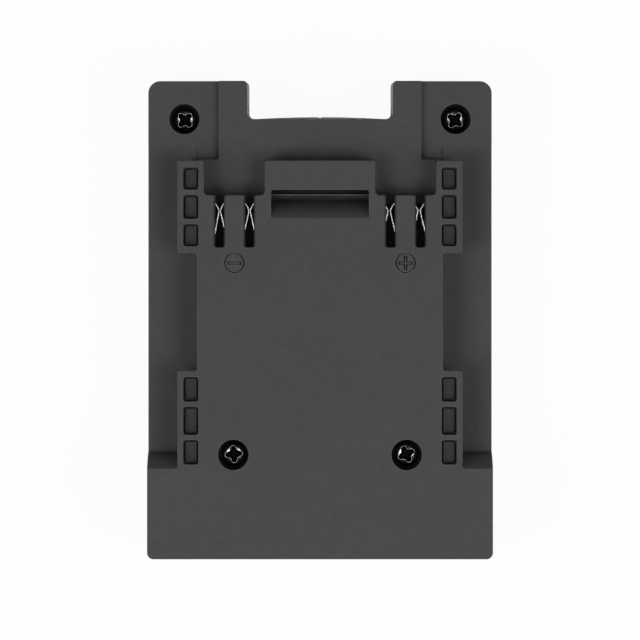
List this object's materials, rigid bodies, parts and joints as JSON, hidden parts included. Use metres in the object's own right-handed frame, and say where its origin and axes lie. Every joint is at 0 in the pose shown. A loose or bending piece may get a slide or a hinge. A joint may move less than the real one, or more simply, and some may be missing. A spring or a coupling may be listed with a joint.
{
  "type": "battery adapter",
  "caption": "Flat moulded adapter that joins a slide-on battery pack to a cordless tool, with rails, sprung contact slots, a latch pocket and a pack dock.",
  "frame": {"origin": "centre of the footprint, on the surface that the adapter lies on, pack side down", "axes": "+Z out of the tool side, +Y towards the notched end, +X towards the plus contacts"},
  "size_m": [0.08, 0.111, 0.025],
  "materials": {
    "shell_plastic": "fine moulded texture, charcoal",
    "rear_plastic": "fine moulded texture, charcoal",
    "screw_steel": "black oxide, bright at the recess edges",
    "small_screw_steel": "zinc plated",
    "contact_metal": "tin plated spring sheet",
    "strap_metal": "copper strip",
    "blade_metal": "tin plated blade",
    "board_laminate": "matt black solder mask",
    "holder_plastic": "moulded",
    "fuse_body": "ceramic",
    "transistor_case": "moulded epoxy",
    "capacitor_can": "drawn can"
  },
  "bodies": {
    "housing": {"front_shell": "shell_plastic", "rear_shell": "rear_plastic", "upper_case_screws": "screw_steel", "lower_case_screws": "screw_steel", "circuit_board": "board_laminate", "board_screws": "small_screw_steel", "board_fuse": "fuse_body", "board_transistor": "transistor_case", "board_capacitor": "capacitor_can", "minus_strap": "strap_metal", "plus_strap": "strap_metal", "blade_holder": "holder_plastic", "minus_blade": "blade_metal", "plus_blade": "blade_metal", "sense_blades": "blade_metal", "minus_outer_base": "contact_metal", "minus_inner_base": "contact_metal", "plus_inner_base": "contact_metal", "plus_outer_base": "contact_metal"},
    "minus_outer_leaf_left": {"minus_outer_leaf_left": "contact_metal"},
    "minus_outer_leaf_right": {"minus_outer_leaf_right": "contact_metal"},
    "minus_inner_leaf_left": {"minus_inner_leaf_left": "contact_metal"},
    "minus_inner_leaf_right": {"minus_inner_leaf_right": "contact_metal"},
    "plus_inner_leaf_left": {"plus_inner_leaf_left": "contact_metal"},
    "plus_inner_leaf_right": {"plus_inner_leaf_right": "contact_metal"},
    "plus_outer_leaf_left": {"plus_outer_leaf_left": "contact_metal"},
    "plus_outer_leaf_right": {"plus_outer_leaf_right": "contact_metal"}
  },
  "joints": [
    {"name": "minus_outer_left_spread", "type": "hinge", "parent": "housing", "child": "minus_outer_leaf_left", "pos_m": [-0.02486, 0.0156, 0.0198], "axis": [0, 0, 1], "range_deg": [0, 3], "stiffness_Nm_per_rad": 0.7},
    {"name": "minus_outer_right_spread", "type": "hinge", "parent": "housing", "child": "minus_outer_leaf_right", "pos_m": [-0.02111, 0.0156, 0.0198], "axis": [0, 0, -1], "range_deg": [0, 3], "stiffness_Nm_per_rad": 0.7},
    {"name": "minus_inner_left_spread", "type": "hinge", "parent": "housing", "child": "minus_inner_leaf_left", "pos_m": [-0.01822, 0.0156, 0.0198], "axis": [0, 0, 1], "range_deg": [0, 3], "stiffness_Nm_per_rad": 0.7},
    {"name": "minus_inner_right_spread", "type": "hinge", "parent": "housing", "child": "minus_inner_leaf_right", "pos_m": [-0.01442, 0.0156, 0.0198], "axis": [0, 0, -1], "range_deg": [0, 3], "stiffness_Nm_per_rad": 0.7},
    {"name": "plus_inner_left_spread", "type": "hinge", "parent": "housing", "child": "plus_inner_leaf_left", "pos_m": [0.01381, 0.0156, 0.0198], "axis": [0, 0, 1], "range_deg": [0, 3], "stiffness_Nm_per_rad": 0.7},
    {"name": "plus_inner_right_spread", "type": "hinge", "parent": "housing", "child": "plus_inner_leaf_right", "pos_m": [0.01821, 0.0156, 0.0198], "axis": [0, 0, -1], "range_deg": [0, 3], "stiffness_Nm_per_rad": 0.7},
    {"name": "plus_outer_left_spread", "type": "hinge", "parent": "housing", "child": "plus_outer_leaf_left", "pos_m": [0.02075, 0.0156, 0.0198], "axis": [0, 0, 1], "range_deg": [0, 3], "stiffness_Nm_per_rad": 0.7},
    {"name": "plus_outer_right_spread", "type": "hinge", "parent": "housing", "child": "plus_outer_leaf_right", "pos_m": [0.02515, 0.0156, 0.0198], "axis": [0, 0, -1], "range_deg": [0, 3], "stiffness_Nm_per_rad": 0.7}
  ]
}
